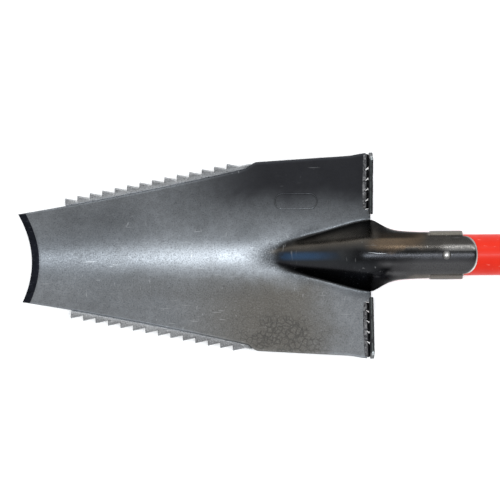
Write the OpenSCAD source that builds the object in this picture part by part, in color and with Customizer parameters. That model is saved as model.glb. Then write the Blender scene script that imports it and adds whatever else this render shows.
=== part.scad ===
// Detecting shovel lying on its back: mouth towards -X, shaft along +X, dished face up (+Z).

/* [Overall] */
// Overall length, mouth corners to the far face of the grip
overall_l = 1020; // [960:10:1100]
// Height of the shaft's axis above the surface that the shovel lies on
axis_h = 22; // [22:0.5:24]
// Thickness of the pressed steel sheet
sheet_t = 2; // [1.5:0.1:2.2]

/* [Blade outline] */
// Length of the blade, left mouth corner to rear edge
blade_l = 302; // [272:5:342]
// Width across the corners of the mouth
mouth_w = 74; // [60:1:90]
// How far the mouth's cutting edge curves back at its middle
mouth_hollow = 9; // [4:0.5:14]
// How much further the left mouth corner reaches than the right one
mouth_skew = 3.2; // [0:0.2:4]
// Width of the ground bevel along the mouth
bevel_w = 6.5; // [4:0.5:10]
// Width just in front of the shoulders
waist_w = 152.4; // [148:0.4:156]
// Distance from the rear edge to where the shoulders have their width
waist_s = 98; // [90:1:110]
// Outward step of each edge there, which covers the end of the saw strip
waist_step = 3.6; // [3:0.1:4.2]
// Length of that step
step_l = 10; // [8:0.5:12]
// Width across the rear corners
rear_w = 174; // [160:1:185]
// Inward bow of the long sides
side_bow = 1.8; // [1:0.1:2.4]

/* [Blade dish] */
// Slope of the wings at their edges, in degrees
wing_angle = 22; // [16:1:26]
// Radius-like size of the rounded channel between the wings
channel_b = 28; // [20:1:40]
// Rise of the mouth above the heel of the blade
mouth_lift = 4; // [0:0.5:10]
// Distance of the heel from the rear edge
heel_s = 80; // [70:1:90]

/* [Frog and socket] */
// Distance of the frog's nose from the rear edge
nose_s = 80; // [70:1:90]
// Half-width of the frog near its nose
nose_c = 10.7; // [8:0.5:14]
// Half-width of the frog at the rear edge
frog_c = 30.7; // [28:0.5:34]
// Rise of the frog's ridge per millimetre of length
ridge_slope = 0.56; // [0.5:0.01:0.65]
// Radius of the frog's ridge at its nose
nose_r = 14; // [12:1:18]
// Steepness of the frog's flanks, in degrees
flank_angle = 61; // [58:1:64]
// Distance from the rear edge to the ears
ear_x = 49.6; // [45:1:55]
// Length of the ears that wrap round the shaft
ear_l = 27.8; // [22:1:34]
// How far the ears stand proud of the tongue
ear_proud = 1.1; // [0.5:0.1:1.5]
// How far the round-ended tongue reaches past the ears
tongue_l = 12.2; // [8:1:16]

/* [Saw strips] */
// Number of teeth on each strip
teeth = 14; // [8:1:14]
// Tooth pitch along the strip
tooth_pitch = 10.9; // [9:0.1:11]
// Height of a tooth
tooth_h = 4.7; // [3:0.1:6]
// Distance of the left strip's first tooth from the rear edge
strip_s_left = 261.5; // [255:0.5:264]
// Distance of the right strip's first tooth from the rear edge
strip_s_right = 257.4; // [255:0.5:264]
// Thickness of the strips
strip_t = 2.5; // [2:0.1:3]
// Depth of the strips behind the roots of the teeth
strip_w = 12; // [8:1:16]

/* [Treads] */
// Distance of a tread's inner end from the middle of the blade
tread_y = 39.7; // [36:0.5:42]
// Thickness of the tread bar
tread_t = 3.6; // [3:0.1:5]
// Width of the tread bar across the sheet
tread_w = 16; // [12:1:20]
// How far the tread bar reaches behind the sheet's front face
tread_back = 3.5; // [2.5:0.5:5]
// Number of weld beads on each tread
beads = 5; // [3:1:5]
// Pitch of the weld beads across the blade
bead_pitch = 8.8; // [8:0.1:9]

/* [Shaft] */
// Outer diameter of the shaft tube
shaft_d = 35; // [34:0.5:35]
// Wall of the shaft tube
shaft_wall = 3; // [2:0.5:4]
// Distance of the shaft's lower end behind the blade's rear edge
shaft_x = 14; // [14:1:20]

/* [Grip] */
// Width of the D-grip
grip_w = 126; // [116:1:140]
// Length of the D-grip with its collar
grip_l = 175; // [165:1:190]
// Diameter of the bar that the hand holds
bar_d = 36; // [32:1:38]
// Width of the finger gap at the bar
gap_w = 92; // [86:1:96]
// Diameter of the rivets that hold the grip
grip_rivet_d = 6; // [5:0.5:6]

/* [Hidden] */
$fn = 64;

// Colours
steel_color = [0.36, 0.37, 0.39];
strip_color = [0.72, 0.73, 0.74];
weld_color = [0.50, 0.51, 0.52];
black_color = [0.13, 0.13, 0.14];

// Places along X, the play of a hole round what goes through it, and the socket's own sizes
rear_x = -overall_l / 2 + blade_l;
grip_end = overall_l - blade_l;
play = 0.2;
socket_r = shaft_d / 2 + sheet_t + play;
channel_z = -axis_h + sheet_t;
rivet_x = 62.9;
grip_x = grip_end - grip_l;

// Sharpness of the blends in the sheet, as the size of the rounding in millimetres
crease_blend = 2.5;
ridge_blend = 4;
heel_blend = 12;
edge_t = 0.4;
cut_back = 4.5;

// Columns of the sheet, from the middle out: ridge, flank, notch and edge
KA = 5;
K = 8;
M = 9;
N = 15;
EAR_COLS = 5;
neck_angle = 100;
ear_angle = 171.5;

// Smooth versions of max(v, 0) and min(a, b)
function soft_pos(v, k) = (v + sqrt(v * v + k * k)) / 2;
function soft_min(a, b, k) = (a + b - sqrt((a - b) * (a - b) + k * k)) / 2;
function clamp01(v) = min(1, max(0, v));
function ease(v) = let (u = clamp01(v)) u * u * (3 - 2 * u);
function lerp(a, b, u) = a + (b - a) * u;
function unit(v) = v / norm(v);

// Half-width of the blade at a distance s in front of its rear edge
function half_w(s) =
    s > waist_s
    ? let (t = min(1, (s - waist_s) / (blade_l - waist_s)))
        lerp(waist_w / 2, mouth_w / 2, t) - side_bow * 4 * t * (1 - t)
        + waist_step * ease((waist_s + step_l - s) / step_l)
    : let (flick = 1.4)
        lerp(rear_w / 2 - flick, waist_w / 2 + waist_step, max(0, s) / waist_s)
        + flick * ease((20 - s) / 15);

// Steepness of the dish that gives the wing its angle at a half-width w
function dish_gain(w) =
    tan(wing_angle) * sqrt(1 + pow(w / channel_b, 2)) * channel_b * channel_b / w;

// Height of the dished channel, and of the whole front face with the frog, above the shaft's axis
function dish_z(s, y) =
    channel_z + mouth_lift * soft_pos(s - heel_s - heel_blend, heel_blend) / (blade_l - heel_s)
    + dish_gain(half_w(s)) * (sqrt(1 + pow(y / channel_b, 2)) - 1);
function ridge_z(s) = soft_min(channel_z + ridge_slope * (nose_s - s), socket_r, ridge_blend);
function ridge_r(s) = lerp(socket_r, nose_r, clamp01(s / nose_s));
function ridge_drop(y, r) =
    abs(y) < r * sin(flank_angle)
    ? r - sqrt(r * r - y * y)
    : r * (1 - 1 / cos(flank_angle)) + tan(flank_angle) * abs(y);
function face_z(s, y) =
    let (dish = dish_z(s, y))
    dish + soft_pos(ridge_z(s) - ridge_drop(y, ridge_r(s)) - dish, crease_blend);

// Stations of the sheet: along the blade to the rear edge, then along the neck, ears and tongue
front_rows = 14;
frog_rows = 17;
neck_rows = 8;
ear_rows = 4;
tongue_rows = 3;
blade_rows = concat(
    [blade_l],
    [for (i = [0 : front_rows]) lerp(blade_l - bevel_w, waist_s + step_l, i / front_rows)],
    [for (i = [0 : frog_rows]) lerp(waist_s, cut_back, i / frog_rows)],
    [0]
);
neck_stations = concat(
    [for (i = [1 : neck_rows]) ear_x * pow(i / neck_rows, 1.4)],
    [for (i = [1 : ear_rows]) ear_x + ear_l * i / ear_rows]
);
I_REAR = len(blade_rows) - 1;
I_EAR = I_REAR + neck_rows;
I_TONGUE = I_EAR + ear_rows;
I_END = I_TONGUE + tongue_rows;

// Place of column j across the sheet, on the frog and out on the wing
function side(j) = j < 0 ? -1 : 1;
function frog_y(j) =
    let (a = abs(j), top = socket_r * sin(flank_angle))
    a <= KA ? socket_r * sin(flank_angle * a / KA) : lerp(top, frog_c, (a - KA) / (K - KA));
function wing_f(a) =
    let (f_notch = (tread_y - frog_c) / (rear_w / 2 - frog_c))
    a <= M ? f_notch * (a - K) / (M - K) : lerp(f_notch, 1, (a - M) / (N - M));
function frog_half(s) = max(nose_c, lerp(frog_c, nose_c, s / (nose_s - 7)));
function column_y(s, j) =
    side(j) * (abs(j) <= K
        ? frog_y(j) * frog_half(s) / frog_c
        : lerp(frog_half(s), half_w(s), wing_f(abs(j))));

// A point of the blade's front face; the mouth's curve and skew fade out over its front half
function blade_point(s, j) =
    let (y = column_y(s, j), u = y / half_w(s), fade = ease((s - 150) / 150),
         ahead = s - fade * (mouth_hollow * (1 - u * u) + mouth_skew * (1 - u) / 2))
    [-ahead, y, face_z(ahead, y)];

// A point of the neck's front face, which turns from the frog into a cylinder round the shaft
function wrap_angle(j) =
    let (a = abs(j))
    side(j) * (a <= KA
        ? flank_angle * a / KA
        : a <= K
        ? lerp(flank_angle, neck_angle, (a - KA) / (K - KA))
        : lerp(neck_angle, ear_angle, (a - K) / EAR_COLS));
function wrap_point(x, j, r) = [x, r * sin(wrap_angle(j)), r * cos(wrap_angle(j))];
neck_fall = 12.5;
neck_power = 1.7;
neck_tail = 0.2;
function neck_turn(x) =
    1 - (1 - neck_tail) * exp(-pow(max(0, x) / neck_fall, neck_power)) - neck_tail * (1 - x / ear_x);
function neck_point(x, j) =
    let (u = neck_turn(x) / neck_turn(ear_x))
    lerp([x, side(j) * frog_y(j), face_z(-x, frog_y(j))], wrap_point(x, j, socket_r), u);

// Radius of the wrap on the ears, which bulge at the sides and close on the shaft behind
function ear_r(j) =
    let (a = abs(wrap_angle(j)))
    socket_r + ear_proud * ease((a - flank_angle) / 8) * ease((ear_angle - a) / 50);

// The front-face point of row i, column j, and its outward normal
function tongue_point(i, j) =
    let (reach = sqrt(max(0, 1 - pow(wrap_angle(j) / (flank_angle + 2), 2))))
    wrap_point(ear_x + ear_l + tongue_l * reach * (i - I_TONGUE) / tongue_rows, j, socket_r);
function front_point(i, j) =
    i <= I_REAR ? blade_point(blade_rows[i], j)
    : i <= I_EAR && abs(j) <= K ? neck_point(neck_stations[i - I_REAR - 1], j)
    : i <= I_TONGUE ? wrap_point(neck_stations[i - I_REAR - 1], j, ear_r(j))
    : tongue_point(i, j);
step = 0.01;
function face_normal(s, y) =
    unit([
        (face_z(s + step, y) - face_z(s - step, y)) / (2 * step),
        (face_z(s, y - step) - face_z(s, y + step)) / (2 * step),
        1
    ]);
function neck_normal(x, j) =
    unit(cross(
        neck_point(x + step, j) - neck_point(x - step, j),
        neck_point(x, j + step) - neck_point(x, j - step)
    ));
function front_normal(i, j) =
    let (p = front_point(i, j))
    i <= I_REAR ? face_normal(-p.x, p.y)
    : i < I_EAR && abs(j) <= K ? neck_normal(p.x, j)
    : wrap_point(0, j, 1);
function sheet_point(i, j, depth) = front_point(i, j) - depth * front_normal(i, j);

// Index of a point of the sheet, on its front (0) or back (1) face
cols = 2 * N + 1;
function at(i, j, back) = (back * (I_END + 1) + i) * cols + j + N;

// Widest column on each side of the strip of cells between rows i and i + 1
function reach(i) =
    i < 0 || i >= I_END ? 0
    : i < I_REAR - 1 ? N
    : i < I_REAR ? M
    : i < I_EAR ? K
    : i < I_TONGUE ? K + EAR_COLS
    : KA;
function quad(a, b, c, d) = [[a, b, c], [a, c, d]];
function has_cell(i, j) = j >= -reach(i) && j < reach(i);

module sheet() {
    front = [for (i = [0 : I_END]) for (j = [-N : N]) sheet_point(i, j, i == 0 ? sheet_t - edge_t : 0)];
    back = [for (i = [0 : I_END]) for (j = [-N : N]) sheet_point(i, j, sheet_t)];
    skins = [for (i = [0 : I_END - 1]) for (j = [-reach(i) : reach(i) - 1]) each concat(
        quad(at(i, j, 0), at(i, j + 1, 0), at(i + 1, j + 1, 0), at(i + 1, j, 0)),
        quad(at(i, j, 1), at(i + 1, j, 1), at(i + 1, j + 1, 1), at(i, j + 1, 1))
    )];
    sides = [for (i = [0 : I_END - 1]) let (r = reach(i)) each concat(
        quad(at(i + 1, r, 0), at(i, r, 0), at(i, r, 1), at(i + 1, r, 1)),
        quad(at(i, -r, 0), at(i + 1, -r, 0), at(i + 1, -r, 1), at(i, -r, 1))
    )];
    leading = [for (i = [0 : I_END]) for (j = [-N : N - 1]) if (has_cell(i, j) && !has_cell(i - 1, j))
        each quad(at(i, j + 1, 0), at(i, j, 0), at(i, j, 1), at(i, j + 1, 1))];
    trailing = [for (i = [0 : I_END]) for (j = [-N : N - 1]) if (!has_cell(i, j) && has_cell(i - 1, j))
        each quad(at(i, j, 0), at(i, j + 1, 0), at(i, j + 1, 1), at(i, j, 1))];
    polyhedron(points = concat(front, back), faces = concat(skins, sides, leading, trailing));
}

// Moves a part from the head's own frame, at the rear edge on the shaft's axis, to its place
module at_head() {
    translate([rear_x, 0, axis_h]) children();
}

// A round bar along X, from x to x + l
module bar_x(x, l, d) {
    translate([x, 0, 0]) rotate([0, 90, 0]) cylinder(h = l, d = d);
}

rivet_d = 5;

module blade() {
    color(steel_color) at_head() difference() {
        sheet();
        translate([rivet_x, 0, 0]) cylinder(h = 2 * socket_r, d = rivet_d + play);
    }
}

// The frame of a saw strip: its first tooth root, its direction, and the wing's slope across it
strip_gap = 0.15;
root_out = 1.45;
tail_s = waist_s + 4;
function edge_point(s, out) =
    [-s, half_w(s) + out, dish_z(s, half_w(s)) + out * tan(wing_angle)];
function strip_root(s) = edge_point(s, root_out);
function strip_tail() = edge_point(tail_s, 0);
function strip_along(s) = unit(strip_tail() - strip_root(s));
function strip_normal(s) = unit(cross(strip_along(s), [0, cos(wing_angle), sin(wing_angle)]));

// Stands children on the back of the left wing, X along the strip and Y outwards
module at_strip(s) {
    x = strip_along(s);
    z = strip_normal(s);
    y = cross(z, x);
    o = strip_root(s) - (sheet_t + strip_gap) * z;
    at_head() multmatrix([
        [x.x, y.x, z.x, o.x],
        [x.y, y.y, z.y, o.y],
        [x.z, y.z, z.z, o.z],
        [0, 0, 0, 1]
    ]) children();
}
function strip_length(s) = norm(strip_tail() - strip_root(s));

module saw_strip(s) {
    rake = 0.95;
    outline = concat(
        [[0, -strip_w], [0, 0]],
        [for (i = [0 : teeth - 1]) each [
            [i * tooth_pitch + rake, tooth_h],
            [(i + 1) * tooth_pitch - rake / 4, 0]
        ]],
        [[strip_length(s), 0], [strip_length(s), -strip_w]]
    );
    color(strip_color) at_strip(s) translate([0, 0, -strip_t])
        linear_extrude(strip_t) polygon(outline);
}
module saw_strip_left() { saw_strip(strip_s_left); }
module saw_strip_right() { mirror([0, 1, 0]) saw_strip(strip_s_right); }

stitches = 6;
stitch_l = 12;
stitch_d = 3.6;
stitch_y = -strip_w - 0.6;
stitch_z = -0.8;
module strip_welds(s) {
    pitch = (strip_length(s) - stitch_l) / stitches;
    color(weld_color) at_strip(s) for (i = [0 : stitches - 1])
        translate([(i + 0.5) * pitch, stitch_y, stitch_z]) {
            bar_x(0, stitch_l, stitch_d);
            for (end = [0, stitch_l]) translate([end, 0, 0]) sphere(d = stitch_d, $fn = 32);
        }
}
module strip_welds_left() { strip_welds(strip_s_left); }
module strip_welds_right() { mirror([0, 1, 0]) strip_welds(strip_s_right); }

// Stands children at the middle of the left tread, Y out along the wing and Z out of its front face
tread_mid = (tread_y + rear_w / 2) / 2;
tread_tilt = atan2(dish_z(0, rear_w / 2) - dish_z(0, tread_y), rear_w / 2 - tread_y);
tread_l = (rear_w / 2 - tread_y) / cos(tread_tilt);
tread_x = -2;
module at_tread() {
    at_head() translate([0, tread_mid, dish_z(0, tread_mid)]) rotate([tread_tilt, 0, 0]) children();
}

module tread() {
    color(steel_color) at_tread() translate([tread_x, -tread_l / 2, -tread_back])
        cube([tread_t, tread_l, tread_w]);
}
module tread_left() { tread(); }
module tread_right() { mirror([0, 1, 0]) tread(); }

// The gaps between the beads lean outwards as they run back, and go right through
bead_front = -7.6;
bead_rear = tread_x + 0.1;
bead_lean = 36;
bead_gap = 1.7;
bead_top = 1.8;
bead_shift = 3.8;
bead_end = tread_l / 2 - 0.8;

// Side of gap k at the beads' front and rear ends, off to one side of its middle
function gap_side(k, off) =
    let (
        y = (k - (beads - 2) / 2) * bead_pitch / cos(tread_tilt) - bead_shift + off,
        lean = tan(bead_lean) * (bead_rear - bead_front) / 2
    )
    [y - lean, y + lean];

module tread_welds() {
    color(weld_color) at_tread() for (i = [0 : beads - 1]) {
        low = i == 0 ? [-bead_end, -bead_end] : gap_side(i - 1, bead_gap / 2);
        high = i == beads - 1 ? [bead_end, bead_end] : gap_side(i, -bead_gap / 2);
        translate([0, 0, -sheet_t]) linear_extrude(sheet_t + bead_top) polygon([
            [bead_front, low[0]], [bead_front, high[0]],
            [bead_rear, high[1]], [bead_rear, low[1]]
        ]);
    }
}
module tread_welds_left() { tread_welds(); }
module tread_welds_right() { mirror([0, 1, 0]) tread_welds(); }

// A domed rivet along Z: the head's underside at height z_head, the tail's at z_tail
tail_ratio = 1.5;
module rivet(d, head_d, head_h, z_head, z_tail, tail_h) {
    translate([0, 0, z_tail]) cylinder(h = z_head - z_tail, d = d);
    rotate_extrude() intersection() {
        dome_r = (pow(head_d / 2, 2) + head_h * head_h) / (2 * head_h);
        translate([0, z_head + head_h - dome_r]) circle(r = dome_r);
        translate([0, z_head]) square([head_d / 2, head_h]);
    }
    translate([0, 0, z_tail - tail_h]) cylinder(h = tail_h, d = d * tail_ratio);
}

rivet_head_d = 7.4;
rivet_head_h = 2.2;
rivet_tail_h = 1.1;
washer_t = 1;
washer_d = 13;
module socket_rivet() {
    color(strip_color) at_head() translate([rivet_x, 0, 0])
        rivet(rivet_d, rivet_head_d, rivet_head_h, socket_r, -socket_r - washer_t, rivet_tail_h);
}
module socket_washer() {
    color(strip_color) at_head() translate([rivet_x, 0, -socket_r - washer_t])
        difference() {
            cylinder(h = washer_t, d = washer_d);
            translate([0, 0, -1]) cylinder(h = washer_t + 2, d = rivet_d + play);
        }
}

// The tube stops against a shoulder inside the grip's collar
tube_stop = 50;
tube_end = grip_x + tube_stop;
grip_rivet_x = [14, 36];
module shaft_holes(x, d, turn) {
    translate([x, 0, 0]) rotate([turn, 0, 0]) translate([0, 0, -shaft_d])
        cylinder(h = 2 * shaft_d, d = d);
}
module shaft_tube() {
    color("red") at_head() difference() {
        bar_x(shaft_x, tube_end - shaft_x, shaft_d);
        bar_x(shaft_x - 1, tube_end - shaft_x + 2, shaft_d - 2 * shaft_wall);
        shaft_holes(rivet_x, rivet_d + play, 0);
        for (x = grip_rivet_x) shaft_holes(grip_x + x, grip_rivet_d + play, 90);
    }
}

core_l = 85;
module core_body(x) {
    bar_x(x, core_l, shaft_d - 2 * shaft_wall - play);
}
module lower_core() {
    color("burlywood") at_head() difference() {
        core_body(shaft_x + 1);
        shaft_holes(rivet_x, rivet_d + play, 0);
    }
}
module upper_core() {
    color("burlywood") at_head() difference() {
        core_body(tube_end - core_l - 1);
        for (x = grip_rivet_x) shaft_holes(grip_x + x, grip_rivet_d + play, 90);
    }
}

grip_t = 2 * axis_h;
collar_d = grip_t - 2;
corner_r = 20;
corner = [grip_end - corner_r, grip_w / 2 - corner_r];
collar_l = 66;
bar_mid = grip_end - bar_d / 2;
bar_core_d = 28;
yoke_r = 20;
yoke_near = [grip_x + 59, 12];
gap_r = 12;
gap_near = [grip_x + 83, 18];
gap_far = [bar_mid, gap_w / 2 - gap_r];

// Points of a round corner about c, from angle a0 to a1
corner_steps = 12;
function arc(c, r, a0, a1) = [
    for (i = [0 : corner_steps]) let (a = lerp(a0, a1, i / corner_steps)) c + r * [cos(a), sin(a)]
];

// A D in plan: two near and two far round corners, joined by their outer tangents
module d_plan(near, near_r, far, far_r) {
    v = far - near;
    turn = atan2(v.y, v.x) + asin((far_r - near_r) / norm(v)) + 90;
    half = concat(arc(near, near_r, 180, turn), arc(far, far_r, turn, 0));
    last = len(half) - 1;
    polygon(concat(half, [for (i = [last : -1 : 0]) [half[i].x, -half[i].y]]));
}

// A round bar along Y, as long as w and centred on it
module bar_y(w, d) {
    translate([bar_mid, w / 2, 0]) rotate([90, 0, 0]) cylinder(h = w, d = d);
}

module grip_yoke() {
    color(black_color) at_head() difference() {
        union() {
            bar_x(grip_x, collar_l, collar_d);
            translate([0, 0, -grip_t / 2]) linear_extrude(grip_t) difference() {
                d_plan(yoke_near, yoke_r, corner, corner_r);
                d_plan(gap_near, gap_r, gap_far, gap_r);
                translate([bar_mid, -gap_w / 2]) square([bar_d, gap_w]);
            }
            bar_y(gap_w + 2, bar_core_d);
        }
        bar_x(grip_x - 1, tube_stop + 1, shaft_d + play);
        for (x = grip_rivet_x) shaft_holes(grip_x + x, grip_rivet_d + play, 90);
    }
}

module grip_sleeve() {
    color([0.22, 0.22, 0.23]) at_head() difference() {
        bar_y(gap_w - play, bar_d);
        bar_y(gap_w + 2, bar_core_d + play);
    }
}

cross_head_d = 11;
cross_head_h = 2.6;
cross_tail_h = 1.6;
module grip_rivets() {
    color(strip_color) at_head() for (x = grip_rivet_x)
        translate([grip_x + x, 0, 0]) rotate([90, 0, 0])
            rivet(grip_rivet_d, cross_head_d, cross_head_h, collar_d / 2, -collar_d / 2, cross_tail_h);
}

blade();
saw_strip_left();
saw_strip_right();
strip_welds_left();
strip_welds_right();
tread_left();
tread_right();
tread_welds_left();
tread_welds_right();
socket_rivet();
socket_washer();
shaft_tube();
lower_core();
upper_core();
grip_yoke();
grip_sleeve();
grip_rivets();
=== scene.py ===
"""Looks of the detecting shovel, which lies on its back with its dished face up."""
import math

import bmesh
import bpy
from mathutils import Matrix, Vector, noise


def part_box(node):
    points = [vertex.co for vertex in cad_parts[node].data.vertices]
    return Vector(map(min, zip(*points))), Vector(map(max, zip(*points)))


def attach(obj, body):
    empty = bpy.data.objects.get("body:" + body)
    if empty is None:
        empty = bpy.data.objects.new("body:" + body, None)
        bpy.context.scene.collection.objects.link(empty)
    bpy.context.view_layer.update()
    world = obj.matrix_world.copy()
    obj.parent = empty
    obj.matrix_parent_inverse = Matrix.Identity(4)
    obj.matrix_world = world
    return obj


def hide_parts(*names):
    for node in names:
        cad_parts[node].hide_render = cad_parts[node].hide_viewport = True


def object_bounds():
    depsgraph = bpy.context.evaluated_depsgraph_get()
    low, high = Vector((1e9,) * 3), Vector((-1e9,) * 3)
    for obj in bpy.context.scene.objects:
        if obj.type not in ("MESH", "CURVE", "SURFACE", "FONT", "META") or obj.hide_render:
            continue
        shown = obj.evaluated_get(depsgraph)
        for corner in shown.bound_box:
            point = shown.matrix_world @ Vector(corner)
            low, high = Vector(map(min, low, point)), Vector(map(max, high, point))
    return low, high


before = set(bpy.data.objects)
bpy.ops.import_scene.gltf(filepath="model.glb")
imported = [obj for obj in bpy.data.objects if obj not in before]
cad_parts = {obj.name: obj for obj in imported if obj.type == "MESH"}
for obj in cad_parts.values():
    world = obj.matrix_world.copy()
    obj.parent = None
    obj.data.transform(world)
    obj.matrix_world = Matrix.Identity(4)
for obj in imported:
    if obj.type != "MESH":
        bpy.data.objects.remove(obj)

CAD_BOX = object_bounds()
MM = 0.001

# ----------------------------------------
# The head's own frame: millimetres from the blade's rear edge, on the shaft's axis
SHAFT_START = 14.0
SHAFT_LO, SHAFT_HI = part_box("shaft_tube")
REAR_X = SHAFT_LO.x - SHAFT_START * MM
AXIS_Y = (SHAFT_LO.y + SHAFT_HI.y) / 2
AXIS_Z = (SHAFT_LO.z + SHAFT_HI.z) / 2
HEAD = Matrix.Translation((REAR_X, AXIS_Y, AXIS_Z)) @ Matrix.Scale(MM, 4)


def node_box(name):
    """A CAD node's box in the head's frame."""
    lo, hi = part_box(name)
    inv = HEAD.inverted()
    return inv @ lo, inv @ hi


# Sizes of the pressed sheet, in millimetres and degrees, as the CAD model has them
SHEET_T, EDGE_T, RIM_ROUND = 2.0, 0.4, 0.35
BLADE_L, BEVEL_W, MOUTH_HOLLOW, MOUTH_SKEW = 302.0, 6.5, 9.0, 3.2
MOUTH_HALF, WAIST_HALF, REAR_HALF = 37.0, 76.2, 87.0
WAIST_S, WAIST_STEP, STEP_L, SIDE_BOW, FLICK = 98.0, 3.6, 10.0, 1.8, 1.4
WING_ANGLE, CHANNEL_B, MOUTH_LIFT = math.radians(22), 28.0, 4.0
HEEL_S, HEEL_BLEND = 80.0, 12.0
SOCKET_R, CHANNEL_Z = 19.7, -20.0
NOSE_S, NOSE_C, FROG_C, NOSE_R = 80.0, 10.7, 30.7, 14.0
RIDGE_SLOPE, RIDGE_BLEND, CREASE_BLEND, NOSE_BLEND = 0.56, 4.0, 2.5, 5.5
FLANK = math.radians(61)
NECK_ANGLE, EAR_ANGLE = math.radians(100), math.radians(171.5)
EAR_X, EAR_L, EAR_PROUD, TONGUE_L, TONGUE_HALF = 49.6, 27.8, 1.1, 12.2, 17.9
EAR_RISE, EAR_RISE_W, EAR_CLOSE_W = 57.9, 3.0, 50.0
CUT_BACK, TREAD_Y = 4.5, 39.7
NECK_FALL, NECK_POWER, NECK_TAIL = 12.5, 1.7, 0.2
# Where along the blade the mouth's curve, the flick of the shoulders and the frog's soft foot begin
MOUTH_S, FLICK_S, FLICK_L, FOOT_S, FOOT_L = 150.0, 20.0, 15.0, 30.0, 45.0
TONGUE_ROLL, ROLL_START = 1.7, 0.66
# The blank raised rim on the left wing
RIM_S, RIM_Y, RIM_L, RIM_W, RIM_R, RIM_SUNK = 64.0, 47.0, 36.0, 13.0, 0.7, 0.15

# Columns of the sheet from the middle out: ridge, flank, notch, edge, and the end of the ears
RIDGE_J, FLANK_J, NOTCH_J, EDGE_J, EAR_J = 5, 8, 11, 17, 13


def soft_pos(v, k):
    """v where it is above nothing, turning softly over about k."""
    return (v + math.sqrt(v * v + k * k)) / 2


def soft_min(a, b, k):
    return (a + b - math.sqrt((a - b) ** 2 + k * k)) / 2


def clamp01(v):
    return min(1.0, max(0.0, v))


def ease(v):
    u = clamp01(v)
    return u * u * (3 - 2 * u)


def lerp(a, b, u):
    return a + (b - a) * u


def steps(a, b, n, first=0):
    """Values from a to b in n equal steps, leaving out the first few."""
    return [lerp(a, b, i / n) for i in range(first, n + 1)]


# ----------------------------------------
# Shape of the pressed sheet
def half_w(s):
    """Half-width of the blade at a distance s in front of its rear edge."""
    if s > WAIST_S:
        t = min(1, (s - WAIST_S) / (BLADE_L - WAIST_S))
        return (lerp(WAIST_HALF, MOUTH_HALF, t) - SIDE_BOW * 4 * t * (1 - t)
                + WAIST_STEP * ease((WAIST_S + STEP_L - s) / STEP_L))
    straight = lerp(REAR_HALF - FLICK, WAIST_HALF + WAIST_STEP, max(0, s) / WAIST_S)
    return straight + FLICK * ease((FLICK_S - s) / FLICK_L)


def dish_z(s, y):
    """Height of the channel between the wings."""
    w = half_w(s)
    gain = math.tan(WING_ANGLE) * math.hypot(1, w / CHANNEL_B) * CHANNEL_B ** 2 / w
    lift = MOUTH_LIFT * soft_pos(s - HEEL_S - HEEL_BLEND, HEEL_BLEND) / (BLADE_L - HEEL_S)
    return CHANNEL_Z + lift + gain * (math.hypot(1, y / CHANNEL_B) - 1)


def face_z(s, y):
    """Height of the front face, with the frog that rises towards the socket."""
    dish = dish_z(s, y)
    ridge = soft_min(CHANNEL_Z + RIDGE_SLOPE * (NOSE_S - s), SOCKET_R, RIDGE_BLEND)
    r = lerp(SOCKET_R, NOSE_R, clamp01(s / NOSE_S))
    if abs(y) < r * math.sin(FLANK):
        drop = r - math.sqrt(r * r - y * y)
    else:
        drop = r * (1 - 1 / math.cos(FLANK)) + math.tan(FLANK) * abs(y)
    blend = lerp(CREASE_BLEND, NOSE_BLEND, ease((s - FOOT_S) / FOOT_L))
    return dish + soft_pos(ridge - drop - dish, blend)


def frog_y(j):
    a = abs(j)
    if a <= RIDGE_J:
        return SOCKET_R * math.sin(FLANK * a / RIDGE_J)
    return lerp(SOCKET_R * math.sin(FLANK), FROG_C, (a - RIDGE_J) / (FLANK_J - RIDGE_J))


def frog_half(s):
    """Half-width of the columns that follow the frog; it narrows softly to the nose's width."""
    full, over = FROG_C - NOSE_C, (FROG_C - NOSE_C) * (1 - s / (NOSE_S - 7))
    return NOSE_C + full * soft_pos(over, 8) / soft_pos(full, 8)


def column_y(s, j):
    """Place of column j across the blade."""
    a, side = abs(j), math.copysign(1, j)
    frog = frog_half(s)
    if a <= FLANK_J:
        return side * frog_y(j) * frog / FROG_C
    notch = (TREAD_Y - FROG_C) / (REAR_HALF - FROG_C)
    out = (notch * (a - FLANK_J) / (NOTCH_J - FLANK_J) if a <= NOTCH_J
           else lerp(notch, 1, (a - NOTCH_J) / (EDGE_J - NOTCH_J)))
    return side * lerp(frog, half_w(s), out)


def blade_point(s, j):
    y = column_y(s, j)
    u, fade = y / half_w(s), ease((s - MOUTH_S) / MOUTH_S)
    ahead = s - fade * (MOUTH_HOLLOW * (1 - u * u) + MOUTH_SKEW * (1 - u) / 2)
    return Vector((-ahead, y, face_z(ahead, y)))


def wrap_angle(j):
    """Angle of column j round the shaft, measured from the top."""
    a, side = abs(j), math.copysign(1, j)
    if a <= RIDGE_J:
        return side * FLANK * a / RIDGE_J
    if a <= FLANK_J:
        return side * lerp(FLANK, NECK_ANGLE, (a - RIDGE_J) / (FLANK_J - RIDGE_J))
    return side * lerp(NECK_ANGLE, EAR_ANGLE, (a - FLANK_J) / (EAR_J - FLANK_J))


def wrap_point(x, j, r):
    a = wrap_angle(j)
    return Vector((x, r * math.sin(a), r * math.cos(a)))


def neck_turn(x):
    return (1 - (1 - NECK_TAIL) * math.exp(-(max(0, x) / NECK_FALL) ** NECK_POWER)
            - NECK_TAIL * (1 - x / EAR_X * max(0, x) / (max(0, x) + 6)))


def neck_point(x, j):
    """The neck turns from the frog into a cylinder round the shaft."""
    u = neck_turn(x) / neck_turn(EAR_X)
    y = math.copysign(1, j) * frog_y(j)
    return Vector((x, y, face_z(-x, y))).lerp(wrap_point(x, j, SOCKET_R), u)


def ear_radius(j):
    """The ears stand proud of the tongue, and close on the shaft behind."""
    a = abs(math.degrees(wrap_angle(j)))
    rise, close = (a - EAR_RISE) / EAR_RISE_W, (math.degrees(EAR_ANGLE) - a) / EAR_CLOSE_W
    return SOCKET_R + EAR_PROUD * ease(rise) * ease(close)


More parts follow.
